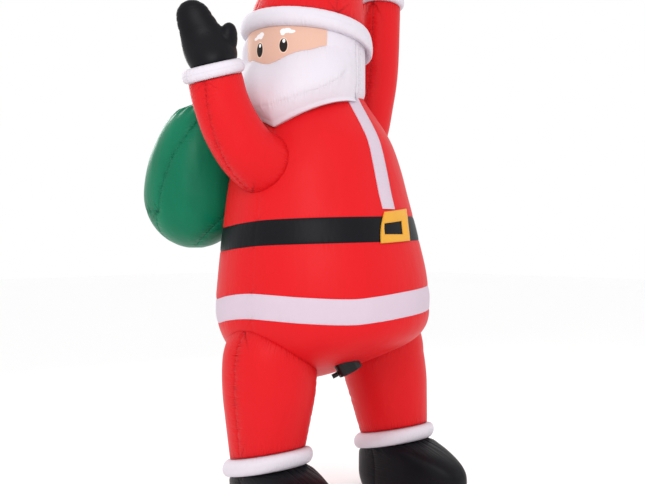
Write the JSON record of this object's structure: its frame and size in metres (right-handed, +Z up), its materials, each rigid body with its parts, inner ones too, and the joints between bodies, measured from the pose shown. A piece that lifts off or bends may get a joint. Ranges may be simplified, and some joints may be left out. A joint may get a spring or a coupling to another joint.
{
  "type": "inflatable santa",
  "caption": "Tall inflatable Santa for the garden, waving with both arms raised, head turned aside, with a belt, boots, a full sack on its back and a fan in its seat.",
  "frame": {"origin": "on the ground, at the middle of the bounding box's base", "axes": "+Z up, -Y the way the body faces, +X to the figure's own left"},
  "size_m": [1.171, 1.1394, 2.422],
  "materials": {
    "red_cloth": "satin",
    "white_cloth": "satin",
    "black_cloth": "satin",
    "gold_cloth": "satin",
    "peach_cloth": "satin",
    "green_cloth": "satin",
    "black_plastic": "gloss"
  },
  "bodies": {
    "root": {"jacket": "red_cloth", "jacket_skirt": "red_cloth", "trouser_seat": "red_cloth", "leg_right": "red_cloth", "leg_left": "red_cloth", "arm_right": "red_cloth", "arm_left": "red_cloth", "hat": "red_cloth", "placket": "white_cloth", "hem_band": "white_cloth", "leg_cuff_right": "white_cloth", "leg_cuff_left": "white_cloth", "arm_cuff_right": "white_cloth", "arm_cuff_left": "white_cloth", "head": "white_cloth", "beard": "white_cloth", "hat_brim": "white_cloth", "hat_pompom": "white_cloth", "belt": "black_cloth", "boot_right": "black_cloth", "boot_left": "black_cloth", "mitten_right": "black_cloth", "mitten_left": "black_cloth", "belt_buckle": "gold_cloth", "face": "peach_cloth", "sack": "green_cloth", "blower_housing": "black_plastic", "blower_grille": "black_plastic", "lead_gland": "black_plastic"}
  },
  "joints": []
}
